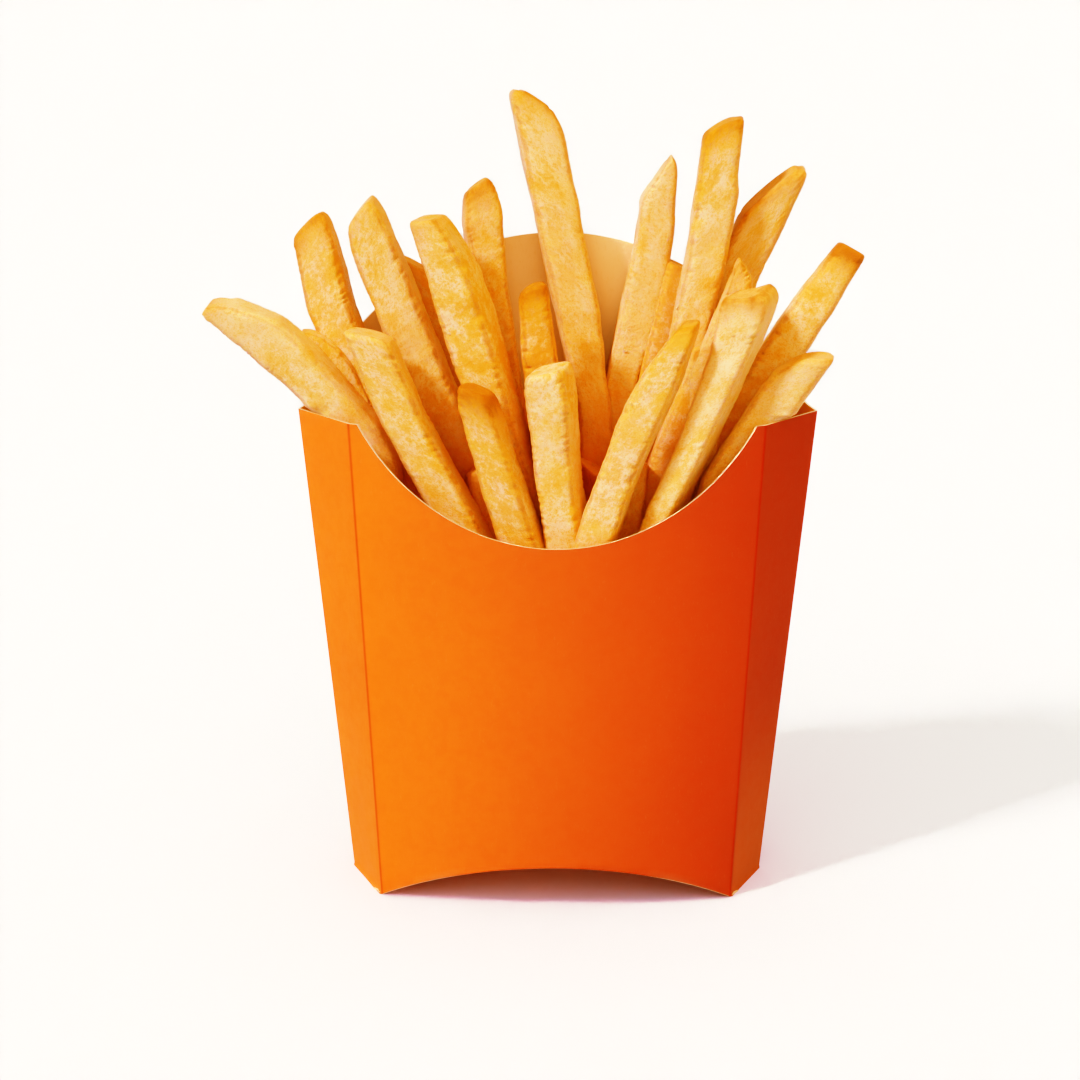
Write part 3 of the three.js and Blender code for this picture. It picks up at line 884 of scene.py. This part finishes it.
def packed_fries():
    """Low fries that fill the mouth of the carton behind those in front, in seeded disorder."""
    order = random.Random(PACKING_SEED)
    packed = list(LOW_FRIES)
    for y, first, last in ROWS_BEHIND:
        for x in np.arange(first, last, SPACING):
            x += order.uniform(-2, 2)
            lean = x * 0.3 + order.uniform(-4, 4)
            top = order.uniform(70, 84)
            foot = (x - lean, y + order.uniform(-2, 2), 30)
            tip = (x + 0.2 * lean, y + order.uniform(-1.5, 1.5), top)
            wide, deep = order.uniform(6, 8.5), order.uniform(6, 8.5)
            slant, turn, toast = order.uniform(-35, 35), order.uniform(-30, 30), order.uniform(0.3, 1)
            packed.append(straight_fry(foot, tip, wide, deep, slant, turn, toast))
    return packed


# The making of a fry, in millimetres where it isn't a count, a share or a power
FINE = (200, 32)  # rings along a fry and points round it
PLAIN = (60, 28)  # the same for the low fries
SECTION_POINTS = 721  # of the outline from which those points are taken
SQUARENESS = 4.2  # power of the section's outline
SQUARENESS_VARIES = 1.6
CORNER_REACH = 0.4  # share of the half side within which a point is near a corner
CORNER_CROWD = 1.6  # how much closer the points stand at a corner
HOLLOW = 0.025  # share by which a face sinks in between its corners
EASED = 264  # places at which an edge is eased
EASINGS = 14
CLOSER = 0.8  # power that gathers the rings towards the cut end
TIP_RADIUS = 0.75  # rounding of the cut end's rim
TIP_STEPS = 4  # rings over that rounding
CAP_STEPS = 5  # rings from the rim to the middle of the cut
TIP_GROWTH = 0.35  # by which the rounding takes a corner in
MOST_INSET = 0.6  # share of a narrow fry that its rounding may take
LEAST_SIDE = 0.3  # share of a fry's seen width that its broad face keeps when it is turned
CROWN_REACH = 2.5  # below the cut end, over which its bulge fades
BROWNED_REACH = 4.5  # the same for its browning
RIM_NEAR = 0.55  # how near to a corner the rounding counts as, at the least
CAP_NEAR = 0.3  # the same over the cut
CAP_BROWNED = 0.85  # how browned the cut is
CAP_SUNK = 0.2  # how far the middle of the cut sinks in
WALL_GAP = 0.25  # between a fry and a wall of the carton
SMOOTH_FOOT = (30, 45)  # lengths up a fry between which its edges begin to be nicked
NICK_SPACING = 2.5
GRAIN = 0.1  # noise units for each millimetre
SEED_STEP = 1.37  # between two fries of a kind


def square_section(seed, around):
    """Points (u, v) round a rounded square of half side 1, and how near each is to a corner."""
    angle = np.linspace(0, 2 * math.pi, SECTION_POINTS)
    power = 2 / (SQUARENESS + SQUARENESS_VARIES * noise.noise(Vector((seed, 0.5, 0.5))))
    cos, sin = np.cos(angle), np.sin(angle)
    u = np.sign(cos) * np.abs(cos) ** power
    v = np.sign(sin) * np.abs(sin) ** power
    corner = np.clip(1 - (2 * 0.5 ** (power / 2) - np.abs(u) - np.abs(v)) / CORNER_REACH, 0, 1)
    steps = np.hypot(np.diff(u), np.diff(v)) * (1 + CORNER_CROWD * corner[1:])
    reach = np.append(0, np.cumsum(steps))
    even = np.linspace(0, reach[-1], around, endpoint=False)
    hollow = 1 - HOLLOW * (1 - corner)
    return [np.interp(even, reach, values) for values in (u * hollow, v * hollow, corner)]


def traced(edge, shares):
    """Places at those shares of the length of an edge, its corners eased."""
    points = np.array(edge, float)
    reach = np.append(0, np.cumsum(np.hypot(*np.diff(points, axis=0).T)))
    even = np.linspace(0, reach[-1], EASED)
    eased = np.column_stack([np.interp(even, reach, values) for values in points.T])
    for _ in range(EASINGS):
        eased[1:-1] = (eased[:-2] + 2 * eased[1:-1] + eased[2:]) / 4
    eased[-1] += (eased[-1] - eased[-4]) / np.linalg.norm(eased[-1] - eased[-4]) * TIP_GROWTH
    return np.column_stack([np.interp(shares, even / reach[-1], values) for values in eased.T])


def unit(vectors):
    return vectors / np.linalg.norm(vectors, axis=-1, keepdims=True)


def fry_rings(fry, seed, count, around):
    """The fry's smooth rings from the foot to the middle of its cut end.

    Gives their points, the middles they stand round, the same points in the straightened fry,
    how near they are to a corner and how near to the cut end.
    """
    u, v, corner = square_section(seed, around)
    span = np.hypot(
        (fry.left[-1][0] + fry.right[-1][0] - fry.left[0][0] - fry.right[0][0]) / 2,
        (fry.left[-1][1] + fry.right[-1][1] - fry.left[0][1] - fry.right[0][1]) / 2,
    )
    shares = np.append(np.linspace(0, 1, count) ** CLOSER * (1 - TIP_RADIUS / span), 1)
    left, right = traced(fry.left, shares), traced(fry.right, shares)
    middle, half = (left + right) / 2, (right - left) / 2
    centre = np.column_stack((middle[:, 0], np.interp(shares, (0, 1), fry.y), middle[:, 1]))
    axis = unit(np.gradient(centre, axis=0))
    rightward = unit(np.column_stack((half[:, 0], np.zeros(len(half)), half[:, 1])))
    back = unit(np.array((0, 1, 0)) - axis * axis[:, 1:2])
    half_wide, half_deep = np.hypot(*half.T), fry.deep / 2
    sin, cos = math.sin(math.radians(fry.turn)), math.cos(math.radians(fry.turn))

    def section(i):
        side = max(half_wide[i] - half_deep * abs(sin), LEAST_SIDE * half_wide[i]) / cos
        a = side * u * cos - half_deep * v * sin
        b = side * u * sin + half_deep * v * cos
        return a * half_wide[i] / np.abs(a).max(), b

    rings = []

    def add_ring(i, a, b, lowered, near, toward_tip):
        below_the_end = span * (1 - shares[i]) + lowered
        bulge = fry.crown * (1 - (a / half_wide[i]) ** 2) * np.exp(-below_the_end / CROWN_REACH)
        height = (bulge - lowered)[:, None]
        points = centre[i] + a[:, None] * rightward[i] + b[:, None] * back[i] + height * axis[i]
        rest = np.column_stack((a, b, span * shares[i] + height[:, 0]))
        middles = np.repeat([centre[i] - axis[i] * lowered], around, axis=0)
        rings.append((points, middles, rest, near, np.full(around, toward_tip)))

    for i in range(count):
        browned = np.exp(-span * (1 - shares[i]) / BROWNED_REACH)
        add_ring(i, *section(i), 0.0, corner, browned)
    a, b = section(count)
    for k in range(1, TIP_STEPS + 1):
        angle = k / TIP_STEPS * math.pi / 2
        inset = TIP_RADIUS * (1 - math.cos(angle))
        lowered = TIP_RADIUS * (1 - math.sin(angle))
        add_ring(
            count, a * (1 - min(inset / half_wide[-1], MOST_INSET)), b * (1 - inset / half_deep),
            lowered, np.maximum(corner, RIM_NEAR), 1.0,
        )
    a, b = a * (1 - min(TIP_RADIUS / half_wide[-1], MOST_INSET)), b * (1 - TIP_RADIUS / half_deep)
    near = np.full(around, CAP_NEAR)
    for k in range(1, CAP_STEPS):
        share = 1 - k / CAP_STEPS
        add_ring(count, a * share, b * share, CAP_SUNK * (1 - share), near, CAP_BROWNED)
    return [np.concatenate(parts) for parts in zip(*rings)]


def roughness_of(rest, near, seed, settings):
    """How far each point of a straightened fry swells, in millimetres, from its noise."""
    unevenness, notches, blister = (
        settings.unevenness / MM, settings.notches / MM, settings.blister / MM)
    smooth, nicked = SMOOTH_FOOT
    swell = np.empty(len(rest))
    for i, (x, y, z) in enumerate(rest):
        quarter = 13.0 * (2 * (x > 0) + (y > 0))  # sets the four edges apart
        broad = noise.noise(Vector((x * 0.1 + seed, y * 0.1, z * 0.06)))
        bumps = noise.noise(Vector((x * 0.35 + seed, y * 0.35, z * 0.3)))
        waves = noise.noise(Vector((seed + quarter, 0.5, z * 0.2)))
        phase = z / NICK_SPACING + 2 * noise.noise(Vector((seed + quarter, 5.5, z * 0.3)))
        cusp = (1 - abs(math.sin(math.pi * phase))) ** 2
        depth = max(0, 0.5 + 1.6 * noise.noise(Vector((x * 0.6 + seed + quarter, y * 0.6, z * 0.15))))
        fine = noise.noise(Vector((x * 1.3 + seed, y * 1.3, z)))
        edges = 0.8 * waves * (0.15 + 0.85 * near[i]) - depth * cusp * near[i] ** 3
        edges *= min(max((z - smooth) / (nicked - smooth), 0), 1)
        swell[i] = unevenness * (broad + 0.5 * bumps) + blister * fine + notches * edges
    return swell


def fry_shape(fry, seed, settings, fineness):
    """One fry in the carton's own frame, in metres: points, faces, grain, edge, tip and toast."""
    count, around = fineness
    points, middles, rest, near, toward_tip = fry_rings(fry, seed, count, around)
    out = points - middles
    size = np.linalg.norm(out, axis=1)
    swell = roughness_of(rest, near, seed, settings) * np.clip(size / 2, 0, 1)
    points = points + out / np.maximum(size, 0.01)[:, None] * swell[:, None]
    ends = points[-around:].mean(axis=0), points[:around].mean(axis=0)
    points = np.vstack((points, ends))
    near, toward_tip = np.append(near, (CAP_NEAR, 0)), np.append(toward_tip, (CAP_BROWNED, 0))
    rest = np.vstack((rest, rest[-around:].mean(axis=0), (0, 0, 0)))
    grain = rest * GRAIN + np.array((seed * 3.1, seed * 1.7, seed * 5.3))
    faces = []
    last, top, bottom = len(points) - 2 - around, len(points) - 2, len(points) - 1
    for low in range(0, last, around):
        for j in range(around):
            k = (j + 1) % around
            faces.append((low + j, low + k, low + around + k, low + around + j))
    for j in range(around):
        k = (j + 1) % around
        faces.append((last + j, last + k, top))
        faces.append((k, j, bottom))
    return points * MM, faces, grain, near, toward_tip * fry.burnt, np.full(len(points), fry.toast)


def potato_mesh(name, shapes, points):
    """A mesh of potato from shapes of points, faces, grain, edge, tip and toast, with those points."""
    faces = []
    offset = 0
    for own_points, own_faces, *_ in shapes:
        faces += [tuple(index + offset for index in face) for face in own_faces]
        offset += len(own_points)
    mesh = bpy.data.meshes.new(name)
    mesh.from_pydata((points + np.array(CARTON_MIDDLE)).tolist(), [], faces)
    write_values(mesh, "grain", np.concatenate([shape[2] for shape in shapes]), "FLOAT_VECTOR")
    for index, value in ((3, "edge"), (4, "tip"), (5, "toast")):
        write_values(mesh, value, np.concatenate([shape[index] for shape in shapes]))
    mesh.shade_smooth()
    return mesh


def potato_material(context):
    """The fries' material, made once and shared by every piece of potato."""
    return bpy.data.materials.get("fried_potato") or fried_potato(context.scene.fry_settings)


def show_potato(context, name, mesh):
    """Puts a mesh of potato in the scene as a piece that stands for the fries."""
    mesh.materials.append(potato_material(context))
    lit_together("potato").objects.link(show(name, mesh, "potato", "fries"))


def show_fries(context, name, fries, first_seed, fineness):
    """All fries of one kind joined into one piece, pressed inside the carton's walls."""
    form = CartonForm(context.scene.carton_settings)
    settings = context.scene.fry_settings
    shapes = [
        fry_shape(fry, first_seed + SEED_STEP * i, settings, fineness) for i, fry in enumerate(fries)]
    points = form.press_inside(np.concatenate([shape[0] for shape in shapes]), WALL_GAP * MM)
    show_potato(context, name, potato_mesh(name, shapes, points))


class FRIES_OT_stand_long(bpy.types.Operator):
    """Stand the long pale fries that rise above the carton"""
    bl_idname = "fries.stand_long"
    bl_label = "Stand Long Fries"

    def execute(self, context):
        show_fries(context, "long_fries", LONG_FRIES, first_seed=11, fineness=FINE)
        return {"FINISHED"}


class FRIES_OT_stand_short(bpy.types.Operator):
    """Stand the shorter, browner fries between the long ones"""
    bl_idname = "fries.stand_short"
    bl_label = "Stand Short Fries"

    def execute(self, context):
        show_fries(context, "short_fries", SHORT_FRIES, first_seed=47, fineness=FINE)
        return {"FINISHED"}


class FRIES_OT_pack_fillers(bpy.types.Operator):
    """Pack the low fries that fill the mouth of the carton"""
    bl_idname = "fries.pack_fillers"
    bl_label = "Pack Low Fries"

    def execute(self, context):
        show_fries(context, "packed_fries", packed_fries(), first_seed=83, fineness=PLAIN)
        return {"FINISHED"}


CORE_TOP = 56 * MM
CORE_LUMPS = 5 * MM
CORE_GAP = 0.6 * MM  # between the core and the carton's walls
CORE_CUTS = 39  # across each side of the block that the core is shaped from


def core_shape(form):
    """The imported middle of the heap, out to the carton's walls, with a lumpy top.

    It comes in the same parts as a fry: points, faces, grain, edge, tip and toast.
    """
    block = bmesh.new()
    bmesh.ops.create_cube(block, size=2)
    bmesh.ops.subdivide_edges(block, edges=block.edges[:], cuts=CORE_CUTS, use_grid_fill=True)
    points = np.array([vertex.co[:] for vertex in block.verts])
    faces = [tuple(vertex.index for vertex in face.verts) for face in block.faces]
    block.free()
    u, v, w = points.T
    lumps = np.array([
        noise.noise(Vector((a * 5, b * 3, 0.5))) + 0.6 * noise.noise(Vector((a * 12, b * 7, 8.5)))
        for a, b in zip(u, v)
    ])
    z = np.full(len(u), CORE_TOP)
    for _ in range(3):
        x = u * (form.seam(z) - CORE_GAP)
        low = form.vault(x) + form.sizes.board + CORE_GAP
        z = low + (CORE_TOP + lumps * CORE_LUMPS - low) * (w + 1) / 2
    y = v * np.maximum(form.wall(x, z) - form.sizes.board - CORE_GAP, CORE_GAP)
    middling = np.full(len(u), 0.5)
    return np.column_stack((x, y, z)), faces, points * 4, middling, middling * 0.6, middling * 2


class FRIES_OT_fill_core(bpy.types.Operator):
    """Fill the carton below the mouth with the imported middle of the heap"""
    bl_idname = "fries.fill_core"
    bl_label = "Fill Core"

    def execute(self, context):
        shape = core_shape(CartonForm(context.scene.carton_settings))
        show_potato(context, "heap_core", potato_mesh("heap_core", [shape], shape[0]))
        return {"FINISHED"}


CRUMBS = (  # place across, height and size, as seen from the front, in millimetres
    (-20.2, 110.5, 0.3),
    (2.3, 97.4, 0.35),
    (13.2, 103.8, 0.4),
    (13.8, 99.8, 0.35),
    (32.6, 112.2, 0.3),
)
LOOSE_CRUMBS = 5
LOOSE_SEED = 3
FIRST_FLAKE = 7  # seed of the first crumb's own shape
CLEAR_OF_ALL = 200  # millimetres from the middle at which a crumb starts on its way


def crumb_shape(place, size, seed):
    """A small flake of crust round a place, as points, faces, grain, edge, tip and toast."""
    flake = bmesh.new()
    bmesh.ops.create_icosphere(flake, subdivisions=3, radius=1)
    points = np.array([vertex.co[:] for vertex in flake.verts])
    faces = [tuple(vertex.index for vertex in face.verts) for face in flake.faces]
    flake.free()
    swell = np.array([noise.noise(Vector(point) * 1.4 + Vector((seed, 0, 0))) for point in points])
    order = random.Random(seed)
    axis = Vector([order.uniform(-1, 1) for _ in range(3)]).normalized()
    turn = Matrix.Rotation(order.uniform(0, math.tau), 3, axis)
    flat = np.array((1, order.uniform(0.45, 0.8), order.uniform(0.3, 0.5)))
    shaped = points * (1 + 0.7 * swell[:, None]) * flat @ np.array(turn) * size
    none = np.zeros(len(points))
    return shaped + np.array(place), faces, points * 0.1 + seed, none, none, none


class FRIES_OT_drop_crumbs(bpy.types.Operator):
    """Drop a few flakes of crust on the fries, some from the front and some from above"""
    bl_idname = "fries.drop_crumbs"
    bl_label = "Drop Crumbs"

    def execute(self, context):
        order = random.Random(LOOSE_SEED)
        drops = [(Vector((x, -CLEAR_OF_ALL, z)), Vector((0, 1, 0)), size) for x, z, size in CRUMBS]
        for _ in range(LOOSE_CRUMBS):
            above = Vector((order.uniform(-34, 34), order.uniform(-16, 18), CLEAR_OF_ALL))
            drops.append((above, Vector((0, 0, -1)), order.uniform(0.4, 0.6)))
        landed = [self.landing(start * MM, way) for start, way, _ in drops]
        shapes = [
            crumb_shape(place, size * MM, FIRST_FLAKE + i)
            for i, (place, (_, _, size)) in enumerate(zip(landed, drops)) if place
        ]
        if not shapes:
            raise RuntimeError("no crumb met a fry")
        points = np.concatenate([shape[0] for shape in shapes])
        show_potato(context, "crumbs", potato_mesh("crumbs", shapes, points))
        return {"FINISHED"}

    def landing(self, start, way):
        """Where a crumb meets the first fry on its way, in the carton's own frame."""
        hits = []
        for piece in lit_together("potato").objects:
            met, place, _, _ = piece.ray_cast(start + CARTON_MIDDLE, way)
            if met:
                hits.append(place - CARTON_MIDDLE)
        return min(hits, key=lambda place: (place - start).length, default=None)


# ---------------------------------------------------------------- studio

FILM_WHITE = 1.6  # the light that is shown as white
FILM_CURVES = (  # for red, green and blue: light, and the share of white that it is shown as
    ((0.05, 0.04), (0.15, 0.16), (0.35, 0.41), (0.7, 0.74), (1.0, 0.86), (1.3, 0.94)),
    ((0.05, 0.012), (0.15, 0.078), (0.35, 0.28), (0.7, 0.6), (1.0, 0.82), (1.3, 0.93)),
    (
        (0.05, 0.004), (0.08, 0.013), (0.12, 0.04), (0.15, 0.07), (0.21, 0.148), (0.255, 0.222),
        (0.3, 0.295), (0.35, 0.36), (0.7, 0.66), (1.0, 0.83), (1.3, 0.93),
    ),
)
KEY_SPREAD = 7  # degrees
LIGHTS = (  # name, whose colour it has, azimuth, height and spread in degrees, what it lights
    ("fill", "key", 82, 30, 70, "dry"),
    ("dome", "dome", 90, 75, 170, "dry"),
    ("glow", "glow", 165, 20, 120, "potato"),
    ("sheen", "sheen", 70, 30, 70, "potato"),
)
FLOOR_REACH = 6.0  # metres from the middle to the floor's edges
LENS = 85  # millimetres of focal length
SENSOR = 36  # millimetres across
CAMERA_REACH = 50  # metres
CAMERA_AIM = (-3.35, 0, 68.4)  # millimetres from the carton's middle on the floor


def towards(azimuth, height):
    """Unit vector from the carton; azimuth is to the right of straight ahead, height above level."""
    return Vector((
        math.sin(azimuth) * math.cos(height),
        -math.cos(azimuth) * math.cos(height),
        math.sin(height),
    ))


class FRIES_OT_set_stage(bpy.types.Operator):
    """Lay the pale floor and place the lights and the camera"""
    bl_idname = "fries.set_stage"
    bl_label = "Set Stage"

    def execute(self, context):
        settings = context.scene.studio_settings
        self.lay_floor(context, settings)
        self.place_lights(context, settings)
        self.place_camera(context, settings)
        self.load_film(context.scene.view_settings)
        return {"FINISHED"}

    def load_film(self, view):
        """Gives the picture the soft shoulder and deep toe of a printed one."""
        view.view_transform = "Standard"
        view.use_curve_mapping = True
        view.curve_mapping.white_level = (FILM_WHITE,) * 3
        for channel, curve in zip(view.curve_mapping.curves, FILM_CURVES):
            for light, shown in curve:
                channel.points.new(light / FILM_WHITE, shown)
        view.curve_mapping.update()

    def lay_floor(self, context, settings):
        """A square of floor that reaches out of sight."""
        mesh = bpy.data.meshes.new("studio_floor")
        far = FLOOR_REACH
        corners = [(-far, -far, 0), (far, -far, 0), (far, far, 0), (-far, far, 0)]
        mesh.from_pydata(corners, [], [(0, 1, 2, 3)])
        mesh.materials.append(plain_floor(settings))
        floor = bpy.data.objects.new("studio_floor", mesh)
        context.scene.collection.objects.link(floor)
        lit_together("dry").objects.link(floor)

    def place_lights(self, context, settings):
        """The main light on everything, the others on board and floor or on the fries alone."""
        self.hang_light(
            context, "key", settings.key_strength, settings.key_colour,
            settings.key_azimuth, settings.key_height, KEY_SPREAD)
        for name, alike, azimuth, height, spread, lit in LIGHTS:
            lamp = self.hang_light(
                context, name, getattr(settings, name + "_strength"),
                getattr(settings, alike + "_colour"),
                math.radians(azimuth), math.radians(height), spread)
            lamp.light_linking.receiver_collection = lit_together(lit)
        context.scene.world = surroundings(settings)

    def hang_light(self, context, name, strength, colour, azimuth, height, spread):
        """A far light; azimuth runs from the left side to the front, spread softens its shadows."""
        light = bpy.data.lights.new(name, "SUN")
        light.energy = strength
        light.angle = math.radians(spread)
        light.color = colour
        lamp = bpy.data.objects.new(name, light)
        way = towards(azimuth - math.pi / 2, height)
        lamp.rotation_euler = way.to_track_quat("Z", "Y").to_euler()
        context.scene.collection.objects.link(lamp)
        return lamp

    def place_camera(self, context, settings):
        """The camera at its distance from the point it looks at, level across."""
        lens = bpy.data.cameras.new("camera")
        lens.lens = LENS
        lens.sensor_width = SENSOR
        lens.clip_end = CAMERA_REACH
        camera = bpy.data.objects.new("camera", lens)
        backwards = towards(settings.camera_azimuth, settings.camera_height)
        target = CARTON_MIDDLE + Vector([part * MM for part in CAMERA_AIM])
        camera.location = target + backwards * settings.camera_distance
        camera.rotation_euler = backwards.to_track_quat("Z", "Y").to_euler()
        context.scene.collection.objects.link(camera)
        context.scene.camera = camera


# ---------------------------------------------------------------- add-on

class FRIES_PT_panel(bpy.types.Panel):
    """Steps that build the fries and their carton"""
    bl_idname = "FRIES_PT_panel"
    bl_label = "Fries in a Carton"
    bl_space_type = "VIEW_3D"
    bl_region_type = "UI"
    bl_category = "Fries"

    def draw(self, context):
        for step in STEPS:
            self.layout.operator(step.bl_idname)
        for group in GROUPS:
            settings = getattr(context.scene, group)
            box = self.layout.box()
            for name in settings.bl_rna.properties.keys():
                if name not in ("rna_type", "name"):
                    box.prop(settings, name)


STEPS = (
    FRIES_OT_set_stage,
    FRIES_OT_fold_carton,
    FRIES_OT_stand_long,
    FRIES_OT_stand_short,
    FRIES_OT_pack_fillers,
    FRIES_OT_fill_core,
    FRIES_OT_drop_crumbs,
)
GROUPS = {
    "carton_settings": CartonSettings,
    "fry_settings": FrySettings,
    "studio_settings": StudioSettings,
}


def register():
    for cls in (*GROUPS.values(), *STEPS, FRIES_PT_panel):
        bpy.utils.register_class(cls)
    for name, group in GROUPS.items():
        setattr(bpy.types.Scene, name, PointerProperty(type=group))


def unregister():
    for name in GROUPS:
        delattr(bpy.types.Scene, name)
    for cls in (FRIES_PT_panel, *reversed(STEPS), *reversed(GROUPS.values())):
        bpy.utils.unregister_class(cls)


def main():
    register()
    bpy.ops.fries.set_stage()
    bpy.ops.fries.fold_carton()
    bpy.ops.fries.stand_long()
    bpy.ops.fries.stand_short()
    bpy.ops.fries.pack_fillers()
    bpy.ops.fries.fill_core()
    bpy.ops.fries.drop_crumbs()


if __name__ == "__main__":
    main()
